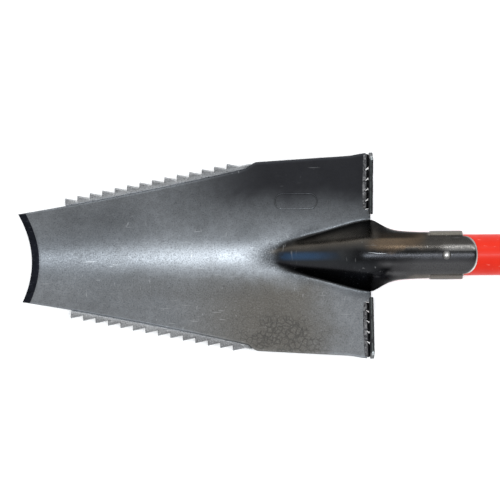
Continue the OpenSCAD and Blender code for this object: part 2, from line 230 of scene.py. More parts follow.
def tongue_point(u, j):
    """The round-ended tongue, which rolls over towards the shaft at its rim."""
    a = wrap_angle(j) / (FLANK + math.radians(2))
    side = math.sqrt(max(0, 1 - a * a))
    t = clamp01((math.hypot(a, u * side) - ROLL_START) / (1 - ROLL_START))
    drop = TONGUE_ROLL * (1 - math.sqrt(1 - t * t)) * ease(u * 6)
    return wrap_point(EAR_X + EAR_L + TONGUE_L * u * side, j, SOCKET_R - drop)


def sheet_front(kind, v, j):
    """A point of the front face on the station of this kind and place."""
    if kind == "blade":
        return blade_point(v, j)
    if kind == "neck" and abs(j) <= FLANK_J:
        return neck_point(v, j)
    if kind in ("neck", "ear"):
        return wrap_point(v, j, ear_radius(j))
    return tongue_point(v, j)


def sheet_normal(kind, v, j, p):
    h = 0.01
    if kind == "blade":
        dx = (face_z(-p.x + h, p.y) - face_z(-p.x - h, p.y)) / (2 * h)
        dy = (face_z(-p.x, p.y - h) - face_z(-p.x, p.y + h)) / (2 * h)
        return Vector((dx, dy, 1)).normalized()
    if kind == "neck" and abs(j) <= FLANK_J and v < EAR_X - h:
        along = neck_point(v + h, j) - neck_point(v - h, j)
        across = neck_point(v, j + h) - neck_point(v, j - h)
        return along.cross(across).normalized()
    return wrap_point(0, j, 1)


def sheet_wave(p):
    """Slight unevenness of pressed sheet, in millimetres."""
    q = Vector((p.x, p.y, 0))
    return 0.16 * noise.noise(q / 46) + 0.07 * noise.noise(q / 17 + Vector((9, 4, 2)))


def sheet_stations():
    """(kind, place, widest column) of each row; the column is that of the cells after it."""
    rows = [("blade", s, EDGE_J) for s in steps(BLADE_L, BLADE_L - BEVEL_W, 4)]
    rows += [("blade", s, EDGE_J) for s in steps(BLADE_L - BEVEL_W, WAIST_S, 90, 1)]
    rows += [("blade", s, EDGE_J) for s in steps(WAIST_S, CUT_BACK, 58, 1)[:-1]]
    rows += [("blade", s, NOTCH_J) for s in steps(CUT_BACK, 0, 3)[:-1]]
    rows += [("blade", 0, FLANK_J)]
    rows += [("neck", EAR_X * u ** 1.3, FLANK_J) for u in steps(0, 1, 34, 1)[:-1]]
    rows += [("neck", EAR_X, EAR_J)]
    rows += [("ear", EAR_X + x, EAR_J) for x in [0.5] + steps(0, EAR_L, 12, 1)[:-1]]
    rows += [("ear", EAR_X + EAR_L, RIDGE_J)]
    rows += [("tongue", 1 - (1 - u) ** 1.6, RIDGE_J) for u in steps(0, 1, 14, 1)]
    return rows


def sheet_mesh(fine=4):
    """The whole pressed sheet as a closed bmesh; the mouth's ground bevel has material 1."""
    rows = sheet_stations()
    cols = [k / fine for k in range(-EDGE_J * fine, EDGE_J * fine + 1)]
    middle = EDGE_J * fine
    reach = [r[2] * fine for r in rows[:-1]] + [0]
    bm = bmesh.new()
    grid = ({}, {})
    for i, (kind, v, _) in enumerate(rows):
        wide = max(reach[i], reach[i - 1] if i else 0)
        for k in range(middle - wide, middle + wide + 1):
            j = cols[k]
            p = sheet_front(kind, v, j)
            n = sheet_normal(kind, v, j, p)
            p = p + n * sheet_wave(p)
            mouth = clamp01((v - BLADE_L + BEVEL_W) / BEVEL_W) if kind == "blade" else 0
            ground = (SHEET_T - EDGE_T) * mouth
            grid[0][i, k] = bm.verts.new(p - n * ground)
            if kind == "tongue":
                p = wrap_point(p.x, j, SOCKET_R)
            grid[1][i, k] = bm.verts.new(p - n * SHEET_T)

    def has(i, k):
        return 0 <= i < len(rows) - 1 and middle - reach[i] <= k < middle + reach[i]

    bevel_rows = sum(1 for kind, v, _ in rows if kind == "blade" and v > BLADE_L - BEVEL_W + 0.01)
    rim = []
    for i in range(len(rows) - 1):
        for k in range(middle - reach[i], middle + reach[i]):
            quads = ((i, k), (i, k + 1), (i + 1, k + 1), (i + 1, k))
            top = bm.faces.new([grid[0][q] for q in quads])
            top.material_index = 1 if i < bevel_rows else 0
            bm.faces.new([grid[1][q] for q in reversed(quads)])
            # Close the rim wherever the cell beside this one is missing
            for a, b, other in ((0, 3, (i, k - 1)), (2, 1, (i, k + 1)),
                                (1, 0, (i - 1, k)), (3, 2, (i + 1, k))):
                if not has(*other):
                    a, b = quads[a], quads[b]
                    side = bm.faces.new([grid[0][a], grid[0][b], grid[1][b], grid[1][a]])
                    side.material_index = 1 if i < bevel_rows else 0
                    if i >= bevel_rows:
                        rim += [bm.edges.get((face[a], face[b])) for face in grid]
    bmesh.ops.recalc_face_normals(bm, faces=bm.faces)
    soften(bm, list(set(rim)), RIM_ROUND, 2)
    return bm


# ----------------------------------------
# Mesh helpers
def mesh_from(bm, name):
    mesh = bpy.data.meshes.new(name)
    bm.to_mesh(mesh)
    bm.free()
    return mesh


def add_object(name, data):
    obj = bpy.data.objects.new(name, data)
    bpy.context.scene.collection.objects.link(obj)
    return obj


def piece(name, bm, nodes, slot, more=(), sharp=35, matrix=HEAD):
    """Makes a piece from a bmesh in the head's millimetres; it stands for CAD nodes."""
    bm.transform(matrix)
    bmesh.ops.recalc_face_normals(bm, faces=bm.faces)
    mesh = mesh_from(bm, name)
    for key in (slot, *more):
        mesh.materials.append(MAT[key])
    mesh.shade_smooth()
    mesh.set_sharp_from_angle(angle=math.radians(sharp))
    obj = add_object(name, mesh)
    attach(obj, "root")
    if nodes:
        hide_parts(*nodes)
    return obj


def on_side(side, matrix):
    """The world matrix of a left-hand frame, mirrored for the right side."""
    mirror = Matrix.Scale(-1, 4, (0, 1, 0)) if side == "right" else Matrix.Identity(4)
    return HEAD @ mirror @ matrix


def soften(bm, edges, offset, segments=1):
    """Bevels edges by offset."""
    bmesh.ops.bevel(bm, geom=edges, offset=offset, segments=segments, profile=0.5, affect="EDGES",
                    clamp_overlap=True)


def join(parts):
    """One bmesh from several."""
    out = bmesh.new()
    for part in parts:
        mesh = mesh_from(part, "part")
        out.from_mesh(mesh)
        bpy.data.meshes.remove(mesh)
    return out


def ring_about_x(bm, place, radius, turns, wobble=None):
    """A ring of vertices about X, or one vertex if its radius is nothing."""
    if radius < 1e-6:
        return [bm.verts.new((place, 0, 0))]
    ring = []
    for k in range(turns):
        a = 2 * math.pi * k / turns
        r = radius + (wobble(place, a) if wobble else 0)
        ring.append(bm.verts.new((place, r * math.cos(a), r * math.sin(a))))
    return ring


def bridge(bm, one, two):
    """Faces between two rings, of which either may be one vertex."""
    turns = max(len(one), len(two))
    for k in range(turns):
        n = (k + 1) % turns
        if len(one) == 1:
            bm.faces.new((one[0], two[k], two[n]))
        elif len(two) == 1:
            bm.faces.new((one[k], two[0], one[n]))
        else:
            bm.faces.new((one[k], two[k], two[n], one[n]))


def lathe(profile, turns=64, axis="X", wobble=None):
    """A closed solid of revolution about X or Z from (place, radius) pairs."""
    bm = bmesh.new()
    rings = [ring_about_x(bm, place, radius, turns, wobble) for place, radius in profile]
    for one, two in zip(rings, rings[1:]):
        bridge(bm, one, two)
    if axis == "Z":
        bm.transform(Matrix.Rotation(-math.pi / 2, 4, "Y"))
    return bm


def loop_lathe(profile, turns=96):
    """A ring-shaped solid about X from a closed loop of (place, radius) pairs."""
    bm = bmesh.new()
    rings = [ring_about_x(bm, place, radius, turns) for place, radius in profile]
    for one, two in zip(rings, rings[1:] + rings[:1]):
        bridge(bm, one, two)
    return bm


def superbox(size, exponent, cuts, rough, seed):
    """A lumpy rounded block, as weld metal sets."""
    bm = bmesh.new()
    bmesh.ops.create_cube(bm, size=2)
    bmesh.ops.subdivide_edges(bm, edges=bm.edges, cuts=cuts, use_grid_fill=True)
    half = Vector(size) / 2
    for v in bm.verts:
        c = v.co
        norm = sum(abs(t) ** exponent for t in c) ** (1 / exponent)
        p = Vector((c.x * half.x, c.y * half.y, c.z * half.z)) / norm
        q = p / 2.6 + Vector((seed * 7.3, seed * 3.1, seed))
        v.co = p + p.normalized() * rough * (noise.noise(q) + 0.5 * noise.noise(q * 2.7))
    return bm


# ----------------------------------------
# Node materials
class Nodes:
    """Short ways to make and join nodes in a tree, for a material or the sky."""

    def __init__(self, owner, coords):
        owner.use_nodes = True
        self.tree = owner.node_tree
        self.coords = self.node("ShaderNodeTexCoord").outputs[coords]

    def node(self, kind, inputs=None, **props):
        made = self.tree.nodes.new(kind)
        for key, value in props.items():
            setattr(made, key, value)
        for key, value in (inputs or {}).items():
            if isinstance(value, bpy.types.NodeSocket):
                self.tree.links.new(value, made.inputs[key])
            else:
                made.inputs[key].default_value = value
        return made

    def noise(self, scale, detail=4.0, rough=0.5, vector=None, warp=0.0):
        """Noise with features of about 1 / scale metres."""
        made = self.node("ShaderNodeTexNoise", {"Vector": vector or self.coords, "Scale": scale,
                         "Detail": detail, "Roughness": rough, "Distortion": warp})
        return made.outputs["Fac"]

    def stretch(self, scale, turn=(0, 0, 0)):
        """Coordinates that draw a texture out where the scale is below 1."""
        made = self.node("ShaderNodeMapping", {"Vector": self.coords, "Scale": scale, "Rotation": turn})
        return made.outputs["Vector"]

    def ramp(self, fac, *stops):
        """A colour ramp with (position, colour) stops."""
        made = self.node("ShaderNodeValToRGB", {"Fac": fac})
        elements = made.color_ramp.elements
        elements.remove(elements[1])
        for i, (pos, colour) in enumerate(stops):
            e = elements[0] if i == 0 else elements.new(pos)
            e.position, e.color = pos, (*colour, 1)
        return made.outputs["Color"]

    def math(self, op, a, b=0.0):
        return self.node("ShaderNodeMath", {0: a, 1: b}, operation=op).outputs["Value"]

    def add(self, a, b):
        return self.math("ADD", a, b)

    def less(self, a, b):
        return self.math("SUBTRACT", a, b)

    def over(self, a, b):
        return self.math("DIVIDE", a, b)

    def high(self, a, b):
        return self.math("MAXIMUM", a, b)

    def size(self, a):
        return self.math("ABSOLUTE", a)

    def times(self, *values):
        out = values[0]
        for value in values[1:]:
            out = self.math("MULTIPLY", out, value)
        return out

    def sum_squares(self, a, b):
        return self.add(self.times(a, a), self.times(b, b))

    def remap(self, value, a, b, c=0.0, d=1.0):
        """A smooth step from c to d as the value goes from a to b."""
        made = self.node("ShaderNodeMapRange", {"Value": value, "From Min": a, "From Max": b,
                         "To Min": c, "To Max": d}, interpolation_type="SMOOTHSTEP")
        return made.outputs["Result"]

    def where(self, *masks):
        """The product of masks, each (value, where it is none, where it is full)."""
        return self.times(*[self.remap(*mask) for mask in masks])

    def paint(self, base, colour, share, *masks):
        """The base with a colour over it, at most by the share, where all the masks meet."""
        return self.mix(self.times(self.where(*masks), share), base, colour)

    def mix(self, fac, a, b):
        made = self.node("ShaderNodeMix", data_type="RGBA")
        for index, value in ((0, fac), (6, a), (7, b)):
            if isinstance(value, bpy.types.NodeSocket):
                self.tree.links.new(value, made.inputs[index])
            else:
                made.inputs[index].default_value = (*value, 1) if index else value
        return made.outputs[2]

    def bump(self, height, distance, strength=1.0, normal=None):
        inputs = {"Height": height, "Distance": distance, "Strength": strength}
        if normal:
            inputs["Normal"] = normal
        return self.node("ShaderNodeBump", inputs).outputs["Normal"]

    def join(self, node, **values):
        """Links the values that are given to a node's inputs."""
        for key, value in values.items():
            if value is not None:
                self.tree.links.new(value, node.inputs[key.replace("_", " ")])


class Shader(Nodes):
    """A Principled material whose colour, roughness and bump come from its nodes."""

    def __init__(self, name, **sockets):
        self.mat = bpy.data.materials.new(name)
        super().__init__(self.mat, "Object")
        self.bsdf = self.tree.nodes["Principled BSDF"]
        for key, value in sockets.items():
            self.bsdf.inputs[key.replace("_", " ")].default_value = value

    def place(self):
        """Object coordinates in the head's millimetres, as three values."""
        split = self.node("ShaderNodeSeparateXYZ", {0: self.coords})
        return [self.times(self.less(split.outputs[k], origin), 1 / MM)
                for k, origin in enumerate((REAR_X, AXIS_Y, AXIS_Z))]

    def finish(self, colour=None, rough=None, normal=None):
        self.join(self.bsdf, Base_Color=colour, Roughness=rough, Normal=normal)
        return self.mat


class BladeSteel(Shader):
    """Shader of the pressed sheet, with the places that its masks use."""

    def __init__(self):
        super().__init__("blade_steel", Metallic=1.0, Specular_Tint=(0.5, 0.5, 0.5, 1.0))
        self.x, self.y, _ = self.place()
        self.out = self.size(self.y)
        self.clouds = self.noise(38, 5, 0.55, warp=0.4)
        self.drift = self.less(self.clouds, 0.5)
        # The same places, shifted by some millimetres so that stains get uneven outlines
        shift = self.times(self.drift, 26)
        self.xs, self.ys = self.add(self.x, shift), self.add(self.y, shift)
        normal = self.node("ShaderNodeNewGeometry").outputs["Normal"]
        self.slope = self.node("ShaderNodeSeparateXYZ", {0: normal}).outputs["Y"]


def wings(m, black):
    """Mottled grey, black on the left shoulder as painted shade, and warm with dried outlines on the right
    one.
    """
    xs, ys = m.xs, m.ys
    base = m.ramp(m.clouds, (0.28, (0.150, 0.160, 0.170)), (0.55, (0.176, 0.186, 0.197)),
                  (0.78, (0.198, 0.208, 0.219)))
    base = m.paint(base, (0.110, 0.114, 0.118), 0.34, (m.noise(210, 3, 0.6), 0.36, 0.62))
    base = m.mix(m.times(black, 0.93), base, (0.018, 0.018, 0.021))
    base = m.paint(base, (0.098, 0.089, 0.074), 0.78, (xs, -185, -95), (xs, -14, -64), (ys, -8, -34))
    cells = m.node("ShaderNodeTexVoronoi", {"Vector": m.coords, "Scale": 215.0}, feature="DISTANCE_TO_EDGE")
    return m.paint(base, (0.035, 0.035, 0.033), 0.50, (cells.outputs["Distance"], 0.18, 0.03),
                   (m.noise(60, 2), 0.40, 0.52), (xs, -130, -95), (xs, -30, -58), (ys, -46, -58))


def channel(m, base):
    """Painted shade towards the mouth, a painted highlight further back, and a darker band of painted shade
    on its right.
    """
    xs, ys, y = m.xs, m.ys, m.y
    # Painted shade: darker down the middle towards the mouth
    base = m.paint(base, (0.085, 0.092, 0.100), 0.62, (xs, -165, -275), (m.out, 30, 4))
    # Painted highlight: lighter down the middle further back
    base = m.paint(base, (0.280, 0.296, 0.312), 0.50,
                   (xs, -215, -150), (xs, -80, -96), (y, -13, 0), (y, 15, 4))
    # Painted shade: a darker band on the right, below the highlight
    base = m.paint(base, (0.090, 0.090, 0.088), 0.40,
                   (xs, -245, -190), (xs, -75, -110), (ys, -10, -22), (ys, -44, -28))
    return m.paint(base, (0.080, 0.085, 0.092), 0.36,
                   (xs, -285, -255), (xs, -180, -225), (ys, 6, 18), (ys, 48, 36))


def frog_place(m):
    """Distance from the frog's middle (1 on its outline), how soft the outline is, and y across it."""
    reach = m.high(m.add(m.times(m.math("MINIMUM", m.x, 0), 0.27), 31.2), 9)
    across = m.over(m.y, reach)
    ahead = m.high(m.over(m.less(-56, m.x), 28), 0)
    soft = m.remap(m.x, -30, -75)
    far = m.math("POWER", m.sum_squares(across, ahead), 0.5)
    return m.add(far, m.times(m.drift, 0.5, soft)), soft, across


def frog_painted_light(m, across):
    """Painted light on the frog: black and dark grey from the left as painted shade, brown on the right as a
    painted reflection, a blue stripe of painted reflection, and a brown left flank that is a painted
    reflection.
    """
    colour = m.ramp(
        m.add(m.times(across, 0.5), 0.5), (0.00, (0.0015, 0.0015, 0.0020)),
        (0.13, (0.0025, 0.0025, 0.0030)), (0.195, (0.010, 0.010, 0.012)), (0.26, (0.036, 0.037, 0.041)),
        (0.40, (0.036, 0.039, 0.043)), (0.50, (0.041, 0.044, 0.047)), (0.60, (0.043, 0.044, 0.045)),
        (0.655, (0.058, 0.056, 0.053)), (0.71, (0.080, 0.074, 0.066)), (0.78, (0.115, 0.104, 0.090)),
        (0.81, (0.095, 0.086, 0.074)), (0.855, (0.056, 0.052, 0.047)), (0.91, (0.036, 0.035, 0.033)),
        (1.00, (0.045, 0.045, 0.044)))
    # Painted reflection: a blue stripe along the ridge near the nose
    colour = m.paint(colour, (0.040, 0.082, 0.155), 0.9,
                     (m.xs, -82, -75), (m.xs, -22, -54), (m.out, 5.2, 0.8))
    # Painted reflection: brown on the flank that faces left
    return m.paint(colour, (0.230, 0.200, 0.165), 0.85,
                   (m.slope, 0.45, 0.85), (m.x, 2, -32), (across, 1, 0.76))


def socket_painted_light(m):
    """Painted reflections and painted shade in bands along the neck and socket: brown on the left, a black
    hollow of painted shade on the right, one bright band that is a painted highlight.
    """
    xs, ys, y = m.xs, m.ys, m.y
    # Painted reflections: lighter and darker bands across the neck and socket
    bands = m.ramp(
        m.add(m.over(y, 44), 0.5), (0.00, (0.060, 0.058, 0.056)), (0.16, (0.068, 0.067, 0.068)),
        (0.25, (0.090, 0.090, 0.094)), (0.34, (0.115, 0.115, 0.120)), (0.41, (0.055, 0.055, 0.058)),
        (0.48, (0.013, 0.013, 0.014)), (0.57, (0.016, 0.016, 0.016)), (0.64, (0.070, 0.068, 0.064)),
        (0.73, (0.075, 0.072, 0.066)), (0.82, (0.050, 0.048, 0.044)), (0.91, (0.028, 0.027, 0.025)),
        (1.00, (0.022, 0.021, 0.019)))
    # Painted reflection in brown on the left; painted shade on the right, on the steep left flank and at the
    # sides; a pale painted reflection far out on the right; a painted highlight along the socket
    bands = m.paint(bands, (0.140, 0.102, 0.068), 0.85, (xs, 50, 30), (ys, 3, 9), (y, 21, 17))
    bands = m.paint(bands, (0.002, 0.002, 0.003), 0.97, (xs, 23, 13), (y, -7, -12))
    bands = m.paint(bands, (0.010, 0.009, 0.008), 0.9, (xs, 44, 26), (m.slope, 0.66, 0.80))
    bands = m.paint(bands, (0.190, 0.168, 0.148), 0.8, (xs, 26, 38), (y, -15, -19))
    bands = m.paint(bands, (0.006, 0.006, 0.006), 0.88, (xs, 26, 8), (m.out, 18, 23))
    return m.paint(bands, (0.230, 0.228, 0.222), 0.7, (m.x, 54, 66), (y, 2.6, 5.2), (y, 10, 7.6))


def dark_parts(m, across):
    """The frog, the neck and the socket, with painted shade along the middle where they meet, and the ears'
    worn steel, which is partly a painted reflection.
    """
    x, out = m.x, m.out
    dark = m.mix(m.remap(m.xs, -6, 12), frog_painted_light(m, across), socket_painted_light(m))
    # Painted shade: darker along the middle where the frog turns into the neck
    dark = m.paint(dark, (0.008, 0.008, 0.009), 0.72, (x, -26, -10), (x, 30, 16), (out, 8, 3))
    dark = m.paint(dark, (0, 0, 0), 0.25, (m.clouds, 0.62, 0.36))
    # The ears: worn steel, lighter and browner, and partly a painted reflection
    ears = m.mix(m.remap(m.y, 5, -5), (0.185, 0.175, 0.150), (0.165, 0.150, 0.136))
    return m.mix(m.where((out, 16.6, 17.2), (x, 46, 50)), dark, ears)


def tongue_wear_and_glint(m, base):
    """Bright wear on the tongue's rolled rim, stronger on its right as a painted glint."""
    start = EAR_X + EAR_L
    edge = m.sum_squares(m.over(m.less(m.x, start), TONGUE_L), m.over(m.y, TONGUE_HALF))
    # Wear, and on the right a painted glint
    rim = m.where((edge, 0.74, 0.92), (m.x, 76, 79), (m.ys, 6, -4, 0.40, 0.95))
    return m.mix(rim, base, (0.74, 0.73, 0.70))


def scratches(m):
    """Hairlines in patches, with none inside the blank rim on the left wing."""
    along = m.noise(520, 1, 0.5, vector=m.stretch((0.10, 1, 1), turn=(0, 0, 0.25)))
    cross = m.noise(480, 1, 0.5, vector=m.stretch((1, 0.10, 1), turn=(0, 0, 0.5)))
    lines = m.high(m.remap(along, 0.69, 0.76), m.remap(cross, 0.69, 0.76))
    rim_x, rim_y = m.size(m.add(m.x, RIM_S)), m.size(m.less(m.y, RIM_Y))
    inside = m.where((rim_x, RIM_L / 2 + 6, RIM_L / 2 + 2), (rim_y, RIM_W / 2 + 6, RIM_W / 2 + 2))
    return m.times(lines, m.remap(m.noise(26, 2), 0.50, 0.62), m.less(1, inside))


def blade_steel():
    """Pressed steel: mottled and finely pitted on the blade, dark on the frog with painted shade and painted
    reflections, glossier on the socket.
    """
    m = BladeSteel()
    # Painted shade: the left shoulder is painted black
    black = m.where((m.xs, -205, -85), (m.ys, 24, 62))
    base = channel(m, wings(m, black))
    # The frog, in a dark margin of painted shade; its outline is soft round the nose and crisp further back
    far, soft, across = frog_place(m)
    painted_crease_shade = m.remap(far, m.add(m.times(soft, 0.85), 1.28), 0.98)
    base = m.mix(m.times(painted_crease_shade, m.add(m.times(soft, 0.40), 0.54)), base, (0.014, 0.015, 0.016))
    # Painted shade: a darker rim along the frog's outline
    base = m.paint(base, (0.012, 0.013, 0.014), 0.60, (far, 1.12, 1.02))
    frog = m.remap(far, m.add(m.times(soft, 0.30), 1.05), m.less(0.98, m.times(soft, 0.20)))
    frog = m.high(frog, m.remap(m.x, -1, 1))
    base = tongue_wear_and_glint(m, m.mix(frog, base, dark_parts(m, across)))
    # Pale specks where the steel isn't dark, pits and scratches
    specks = m.noise(900, 3, 0.7)
    plain = m.remap(m.high(frog, black), 0, 0.8, 1, 0.10)
    base = m.mix(m.times(m.remap(specks, 0.50, 0.72, 0, 0.20), plain), base, (0.34, 0.35, 0.36))
    base = m.paint(base, (0.04, 0.04, 0.045), 0.50, (specks, 0.48, 0.30))
    lines = scratches(m)
    base = m.mix(m.times(lines, 0.28), base, (0.46, 0.47, 0.48))
    rough = m.add(m.remap(m.clouds, 0.3, 0.7, 0.41, 0.47), m.times(frog, -0.19))
    rough = m.add(rough, m.remap(specks, 0.35, 0.65, 0.04, -0.02))
    normal = m.bump(m.noise(2600, 2, 0.6), 0.00002, 0.5)
    normal = m.bump(specks, 0.00008, 0.30, normal)
    normal = m.bump(m.times(lines, -1), 0.00004, 0.4, normal)
    return m.finish(base, rough, normal)


def bevel_steel():
    """The mouth's ground bevel, near black, with grinding lines across it."""
    m = Shader("bevel_steel", Metallic=1.0)
    grind = m.noise(900, 3, 0.6, vector=m.stretch((0.06, 1, 1)))
    soil = m.noise(160, 4)
    base = m.ramp(soil, (0.3, (0.008, 0.009, 0.012)), (0.6, (0.017, 0.019, 0.026)),
                  (0.8, (0.045, 0.046, 0.054)))
    base = m.paint(base, (0.18, 0.19, 0.21), 0.30, (grind, 0.6, 0.75))
    rough = m.remap(soil, 0.3, 0.7, 0.45, 0.32)
    return m.finish(base, rough, m.bump(grind, 0.00006, 0.5))


def strip_steel():
    """Bare light steel with long brushing and small dark specks, darker on the right strip as painted shade.
    """
    m = Shader("strip_steel", Metallic=1.0)
    brush = m.noise(1500, 2, 0.5, vector=m.stretch((0.05, 1, 1), turn=(0, 0, 0.2)))
    specks = m.noise(900, 2, 0.6)
    x, y, _ = m.place()
    base = m.ramp(m.noise(70, 4), (0.3, (0.30, 0.31, 0.32)), (0.7, (0.44, 0.45, 0.46)))
    # Painted shade: the right strip darker, more so towards its rear
    base = m.mix(m.where((y, 20, -20), (x, -200, -130, 0.25, 0.72)), base, (0.130, 0.134, 0.140))
    # Millimetres past the sheet's edge: lighter steel just past it, darker teeth
    t = m.over(m.less(m.times(x, -1), WAIST_S), BLADE_L - WAIST_S)
    edge = m.less(WAIST_HALF, m.times(t, WAIST_HALF - MOUTH_HALF))
    bow = m.times(t, m.less(1, t), 4 * SIDE_BOW)
    past = m.less(m.size(y), m.less(edge, bow))
    base = m.paint(base, (0.56, 0.57, 0.59), 0.7, (past, 2.6, 1.2))
    base = m.paint(base, (0.12, 0.12, 0.125), 0.35, (past, 2.6, 4.6))
    base = m.paint(base, (0.10, 0.10, 0.10), 0.75, (specks, 0.46, 0.30))
    base = m.paint(base, (0.62, 0.63, 0.64), 0.5, (specks, 0.56, 0.70))
    rough = m.remap(brush, 0.35, 0.65, 0.34, 0.48)
    return m.finish(base, rough, m.bump(brush, 0.00004, 0.5))


def weld_steel():
    """Dull weld metal with scale and spatter; it is black where it runs into the treads, as painted shade
    where it meets the bar.
    """
    m = Shader("weld_steel", Metallic=1.0)
    x = m.place()[0]
    scale = m.noise(330, 5, 0.65)
    base = m.ramp(scale, (0.30, (0.040, 0.040, 0.043)), (0.46, (0.120, 0.120, 0.126)),
                  (0.66, (0.400, 0.400, 0.408)))
    base = m.paint(base, (0.15, 0.11, 0.07), 0.3, (m.noise(120, 2), 0.58, 0.75))
    base = m.paint(base, (0.045, 0.045, 0.048), 0.75, (x, -6, -7.2))
    # Painted shade: black at the rear, where the bead meets the bar
    painted = m.remap(m.add(x, m.times(m.less(scale, 0.5), 2.5)), -4.4, -3.6)
    base = m.mix(painted, base, (0.010, 0.010, 0.011))
    rough = m.remap(scale, 0.35, 0.65, 0.66, 0.48)
    normal = m.bump(m.noise(1500, 2), 0.00006, 0.5)
    return m.finish(base, rough, m.bump(scale, 0.0003, 0.5, normal))


def tread_steel():
    """Black-painted bar: orange peel, chips, and a worn line along its front edge."""
    m = Shader("tread_steel", Metallic=0.0, Specular_IOR_Level=0.25, Coat_Weight=0.05, Coat_Roughness=0.3)
    x, y, _ = m.place()
    out = m.size(y)
    chips = m.noise(260, 5, 0.65, warp=0.6)
    peel = m.noise(1100, 2)
    chipped = (chips, 0.40, 0.50)
    line = m.where((x, -0.9, -0.6), (x, 0.1, -0.2), chipped)
    # A bright patch near the bar's outer end: worn metal, and partly a painted highlight
    corner = m.where((out, 80.5, 82), (out, 85.2, 84.2), (x, -1, -0.5), (x, 1.6, 0.9), chipped)
    worn = m.high(m.high(line, corner), m.remap(chips, 0.70, 0.74))
    base = m.ramp(chips, (0.35, (0.006, 0.006, 0.008)), (0.6, (0.012, 0.013, 0.014)))
    base = m.mix(worn, base, (0.085, 0.096, 0.094))
    base = m.mix(m.times(corner, 0.7), base, (0.42, 0.45, 0.46))
    m.join(m.bsdf, Metallic=worn)
    rough = m.remap(peel, 0.3, 0.7, 0.36, 0.48)
    normal = m.bump(peel, 0.00005, 0.5)
    return m.finish(base, rough, m.bump(worn, 0.00006, -0.6, normal))


def rivet_steel():
    """Bright plated steel, a little scuffed; the socket rivet's head is painted dark round a small bright
    crown, as painted shade with a painted highlight.
    """
    m = Shader("rivet_steel", Metallic=1.0)
    scuff = m.noise(700, 4, 0.6)
    base = m.ramp(m.noise(160, 3), (0.3, (0.50, 0.50, 0.49)), (0.7, (0.66, 0.66, 0.65)))
    base = m.paint(base, (0.16, 0.15, 0.14), 0.7, (scuff, 0.42, 0.30))
    x, y, z = m.place()
    away = m.math("POWER", m.sum_squares(m.less(x, RIVET_X), y), 0.5)
    # Painted shade on the rivet's head, leaving a small bright crown as a painted highlight
    base = m.paint(base, (0.055, 0.053, 0.050), 0.85, (away, 1.4, 2.8), (z, 5, 10), (away, 12, 9))
    rough = m.remap(scuff, 0.35, 0.65, 0.38, 0.24)
    return m.finish(base, rough, m.bump(scuff, 0.00006, 0.4))


def shaft_red():
    """Red fibreglass tube: satin gelcoat over faint lengthwise strands, with hairline scratches."""
    m = Shader("shaft_red", Metallic=0.0, Coat_Weight=0.04, Coat_Roughness=0.15, Specular_IOR_Level=0.12)
    strands = m.noise(900, 3, 0.5, vector=m.stretch((0.02, 1, 1)))
    scratch = m.noise(500, 2, 0.5, vector=m.stretch((0.3, 1, 1), turn=(0.2, 0.4, 0.9)))
    base = m.ramp(m.noise(30, 4), (0.3, (0.58, 0.019, 0.008)), (0.7, (0.65, 0.026, 0.010)))
    base = m.paint(base, (0.53, 0.022, 0.011), 0.35, (strands, 0.45, 0.68))
    base = m.paint(base, (0.86, 0.30, 0.24), 0.35, (scratch, 0.69, 0.74))
    rough = m.remap(strands, 0.35, 0.65, 0.34, 0.44)
    return m.finish(base, rough, m.bump(strands, 0.00006, 0.35))


def core_wood():
    """Turned hardwood with lengthwise grain and open pores."""
    m = Shader("core_wood", Metallic=0.0)
    grain = m.noise(260, 5, 0.6, vector=m.stretch((0.04, 1, 1)), warp=1.2)
    rings = m.node("ShaderNodeTexWave", {"Vector": m.stretch((0.1, 1, 1)), "Scale": 130, "Distortion": 3,
                   "Detail": 3.0}, wave_type="RINGS", rings_direction="X").outputs["Fac"]
    base = m.ramp(grain, (0.3, (0.42, 0.26, 0.13)), (0.6, (0.60, 0.42, 0.24)), (0.8, (0.68, 0.50, 0.31)))
    base = m.mix(m.times(rings, 0.35), base, (0.36, 0.22, 0.11))
    return m.finish(base, m.remap(grain, 0.3, 0.7, 0.70, 0.55), m.bump(grain, 0.0002, 0.5))


def grip_black():
    """Black moulded nylon: spark-eroded grain, scuffs and dust in its hollows."""
    m = Shader("grip_black", Metallic=0.0, Specular_IOR_Level=0.3)
    grain = m.noise(1700, 2, 0.6)
    clouds = m.noise(45, 4)
    scuff = m.noise(350, 4, 0.6, vector=m.stretch((0.4, 1, 1), turn=(0, 0, 0.6)))
    base = m.ramp(clouds, (0.3, (0.008, 0.008, 0.009)), (0.7, (0.017, 0.017, 0.019)))
    base = m.paint(base, (0.11, 0.11, 0.11), 0.5, (scuff, 0.64, 0.74))
    rough = m.remap(clouds, 0.3, 0.7, 0.42, 0.54)
    return m.finish(base, rough, m.bump(grain, 0.00012, 0.45))


def sleeve_rubber():
    """Dark soft rubber with a fine matt grain and pale dust."""
    m = Shader("sleeve_rubber", Metallic=0.0, Specular_IOR_Level=0.35)
    grain = m.noise(2200, 2, 0.6)
    dust = m.noise(90, 5, 0.6)
    base = m.ramp(dust, (0.35, (0.016, 0.016, 0.018)), (0.75, (0.045, 0.044, 0.042)))
    rough = m.remap(dust, 0.3, 0.7, 0.70, 0.85)
    return m.finish(base, rough, m.bump(grain, 0.0001, 0.5))


# ----------------------------------------
# Head
def make_blade():
    piece("blade_sheet", sheet_mesh(), ["blade"], "blade_steel", ["bevel_steel"], sharp=28)


